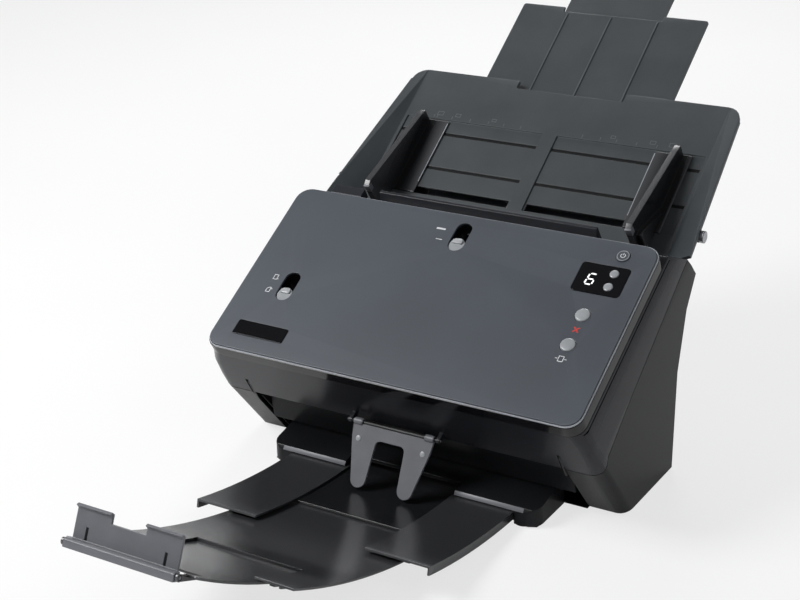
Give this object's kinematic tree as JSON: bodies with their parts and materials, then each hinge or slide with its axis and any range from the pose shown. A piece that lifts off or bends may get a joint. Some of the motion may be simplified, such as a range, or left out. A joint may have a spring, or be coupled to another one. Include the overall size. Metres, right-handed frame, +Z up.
{
  "type": "sheet-fed document scanner",
  "caption": "Desktop sheet-fed scanner with a tilted control cover, a lift-off paper tray with pull-out extensions and a curved telescopic output tray with a folding paper stop.",
  "frame": {"origin": "centre of the whole object's footprint at the bottom of the feet", "axes": "+Z up, +Y from the output tray at the front to the input tray at the back, +X to the right seen from the front"},
  "size_m": [0.3186, 0.7302, 0.3244],
  "materials": {
    "casing_black": "satin dark plastic",
    "shell_dark": "semi-gloss dark grey plastic",
    "panel_satin": "satin blue-grey plastic",
    "gloss_black": "gloss black plastic",
    "tray_charcoal": "fine-textured charcoal plastic",
    "stage_black": "semi-gloss black plastic",
    "mid_grey": "satin mid grey plastic",
    "button_grey": "smooth light grey plastic",
    "steel": "plain steel sheet and rod",
    "plate_black": "black-coated steel sheet",
    "motor_can": "zinc-plated steel can",
    "rubber_black": "matt black rubber",
    "board_green": "green circuit board",
    "sensor_glass": "clear sensor glass"
  },
  "bodies": {
    "base": {"side_casing_left": "casing_black", "side_casing_right": "casing_black", "frame_plate_left": "plate_black", "frame_plate_right": "plate_black", "rear_cover": "casing_black", "bottom_pan": "casing_black", "output_deck": "casing_black", "back_foot_left": "rubber_black", "back_foot_right": "rubber_black", "front_foot_left": "rubber_black", "front_foot_right": "rubber_black", "main_board": "board_green", "dc_jack": "gloss_black", "usb_socket": "steel", "motor": "motor_can", "drive_belt": "rubber_black", "lower_guide": "casing_black", "lower_scan_unit": "gloss_black", "lower_scan_glass": "sensor_glass"},
    "motor_shaft": {"motor_pulley": "steel"},
    "rear_drive": {"rear_drive_roller": "rubber_black"},
    "front_drive": {"front_drive_roller": "rubber_black"},
    "feed": {"feed_roller": "rubber_black"},
    "cover": {"cover_shell": "shell_dark", "panel_plate": "panel_satin", "panel_rim": "gloss_black", "label_plate": "gloss_black", "display_window": "gloss_black", "control_board": "board_green", "upper_guide": "casing_black", "upper_scan_unit": "gloss_black", "upper_scan_glass": "sensor_glass"},
    "power_key": {"power_button": "panel_satin"},
    "up_key": {"up_button": "button_grey"},
    "down_key": {"down_button": "button_grey"},
    "cancel_key": {"cancel_button": "button_grey"},
    "scan_key": {"scan_button": "button_grey"},
    "size_slider": {"size_switch": "button_grey"},
    "mode_slider": {"mode_switch": "button_grey"},
    "latch": {"release_latch": "shell_dark"},
    "flap_shaft": {"flap_rod": "plate_black"},
    "flap": {"paper_flap": "mid_grey"},
    "separator": {"separator_arm": "mid_grey"},
    "rear_pinch": {"rear_pinch_roller": "rubber_black"},
    "front_pinch": {"front_pinch_roller": "rubber_black"},
    "input_tray": {"tray_floor": "tray_charcoal", "tray_back": "tray_charcoal", "tray_stud_left": "steel", "tray_stud_right": "steel"},
    "left_guide": {"side_guide_left": "stage_black"},
    "right_guide": {"side_guide_right": "stage_black"},
    "pinion": {"guide_pinion": "button_grey"},
    "first_extension": {"tray_extension_1": "tray_charcoal"},
    "second_extension": {"tray_extension_2": "tray_charcoal"},
    "first_stage": {"output_stage_1": "stage_black"},
    "second_stage": {"output_stage_2": "stage_black"},
    "third_stage": {"output_stage_3": "stage_black"},
    "stop": {"paper_stop": "mid_grey"}
  },
  "joints": [
    {"name": "cover_hinge", "type": "hinge", "parent": "base", "child": "cover", "pos_m": [0, -0.05815, 0.06283], "axis": [1, 0, 0], "range_deg": [0, 60]},
    {"name": "rear_drive_spin", "type": "hinge", "parent": "base", "child": "rear_drive", "pos_m": [0, 0.03869, 0.09671], "axis": [1, 0, 0], "continuous": true},
    {"name": "front_drive_spin", "type": "hinge", "parent": "base", "child": "front_drive", "pos_m": [0, -0.02171, 0.05395], "axis": [1, 0, 0], "continuous": true},
    {"name": "feed_spin", "type": "hinge", "parent": "base", "child": "feed", "pos_m": [0, 0.06711, 0.11194], "axis": [1, 0, 0], "continuous": true},
    {"name": "motor_spin", "type": "hinge", "parent": "base", "child": "motor_shaft", "pos_m": [0, 0.03691, 0.054], "axis": [1, 0, 0], "continuous": true},
    {"name": "power_press", "type": "slide", "parent": "cover", "child": "power_key", "axis": [0, 0.5092, -0.8607], "range_m": [0, 0.0008], "stiffness_N_per_m": 300, "springref_m": -0.001},
    {"name": "up_press", "type": "slide", "parent": "cover", "child": "up_key", "axis": [0, 0.5092, -0.8607], "range_m": [0, 0.0008], "stiffness_N_per_m": 300, "springref_m": -0.001},
    {"name": "down_press", "type": "slide", "parent": "cover", "child": "down_key", "axis": [0, 0.5092, -0.8607], "range_m": [0, 0.0008], "stiffness_N_per_m": 300, "springref_m": -0.001},
    {"name": "cancel_press", "type": "slide", "parent": "cover", "child": "cancel_key", "axis": [0, 0.5092, -0.8607], "range_m": [0, 0.0008], "stiffness_N_per_m": 300, "springref_m": -0.001},
    {"name": "scan_press", "type": "slide", "parent": "cover", "child": "scan_key", "axis": [0, 0.5092, -0.8607], "range_m": [0, 0.0008], "stiffness_N_per_m": 300, "springref_m": -0.001},
    {"name": "size_slide", "type": "slide", "parent": "cover", "child": "size_slider", "axis": [0, 0.8607, 0.5092], "range_m": [0, 0.0139]},
    {"name": "mode_slide", "type": "slide", "parent": "cover", "child": "mode_slider", "axis": [0, 0.8607, 0.5092], "range_m": [0, 0.0139]},
    {"name": "latch_pull", "type": "slide", "parent": "cover", "child": "latch", "axis": [0, 0.8607, 0.5092], "range_m": [0, 0.003], "stiffness_N_per_m": 400, "springref_m": -0.002},
    {"name": "flap_rod_turn", "type": "hinge", "parent": "cover", "child": "flap_shaft", "pos_m": [0, -0.06428, 0.05374], "axis": [1, 0, 0], "range_deg": [-80, 0]},
    {"name": "flap_swing", "type": "hinge", "parent": "flap_shaft", "child": "flap", "pos_m": [0, -0.06428, 0.05374], "axis": [1, 0, 0], "range_deg": [-45, 0]},
    {"name": "separator_lift", "type": "hinge", "parent": "cover", "child": "separator", "pos_m": [0, 0.04519, 0.12214], "axis": [1, 0, 0], "range_deg": [0, 8], "stiffness_Nm_per_rad": 0.05, "springref_deg": -5.73},
    {"name": "rear_pinch_spin", "type": "hinge", "parent": "cover", "child": "rear_pinch", "pos_m": [0, 0.03025, 0.10862], "axis": [1, 0, 0], "continuous": true},
    {"name": "front_pinch_spin", "type": "hinge", "parent": "cover", "child": "front_pinch", "pos_m": [0, -0.03015, 0.06586], "axis": [1, 0, 0], "continuous": true},
    {"name": "tray_lift", "type": "slide", "parent": "base", "child": "input_tray", "axis": [0, 0.8161, 0.5779], "range_m": [0, 0.024]},
    {"name": "left_guide_slide", "type": "slide", "parent": "input_tray", "child": "left_guide", "axis": [1, 0, 0], "range_m": [0, 0.08]},
    {"name": "right_guide_slide", "type": "slide", "parent": "input_tray", "child": "right_guide", "axis": [-1, 0, 0], "range_m": [0, 0.08]},
    {"name": "pinion_turn", "type": "hinge", "parent": "input_tray", "child": "pinion", "pos_m": [0, 0.13872, 0.17244], "axis": [0, -0.5779, 0.8161], "range_deg": [-580, 0]},
    {"name": "first_extension_slide", "type": "slide", "parent": "input_tray", "child": "first_extension", "axis": [0, -0.8161, -0.5779], "range_m": [0, 0.085]},
    {"name": "second_extension_slide", "type": "slide", "parent": "first_extension", "child": "second_extension", "axis": [0, -0.8161, -0.5779], "range_m": [0, 0.07]},
    {"name": "first_stage_slide", "type": "hinge", "parent": "base", "child": "first_stage", "pos_m": [0, -0.04109, 0.5565], "axis": [1, 0, 0], "range_deg": [0, 8]},
    {"name": "second_stage_slide", "type": "hinge", "parent": "first_stage", "child": "second_stage", "pos_m": [0, -0.04109, 0.5565], "axis": [1, 0, 0], "range_deg": [0, 8]},
    {"name": "third_stage_slide", "type": "hinge", "parent": "second_stage", "child": "third_stage", "pos_m": [0, -0.04109, 0.5565], "axis": [1, 0, 0], "range_deg": [0, 11]},
    {"name": "stop_fold", "type": "hinge", "parent": "third_stage", "child": "stop", "pos_m": [0, -0.36089, 0.1032], "axis": [1, 0, 0], "range_deg": [-80, 0]}
  ],
  "couplings": [
    {"joint": "front_drive_spin", "follows": "rear_drive_spin", "ratio": 1},
    {"joint": "feed_spin", "follows": "rear_drive_spin", "ratio": 1},
    {"joint": "motor_spin", "follows": "rear_drive_spin", "ratio": 1.4},
    {"joint": "flap_rod_turn", "follows": "cover_hinge", "ratio": -1.3},
    {"joint": "right_guide_slide", "follows": "left_guide_slide", "ratio": 1},
    {"joint": "pinion_turn", "follows": "left_guide_slide", "rad_per_m": -125}
  ]
}
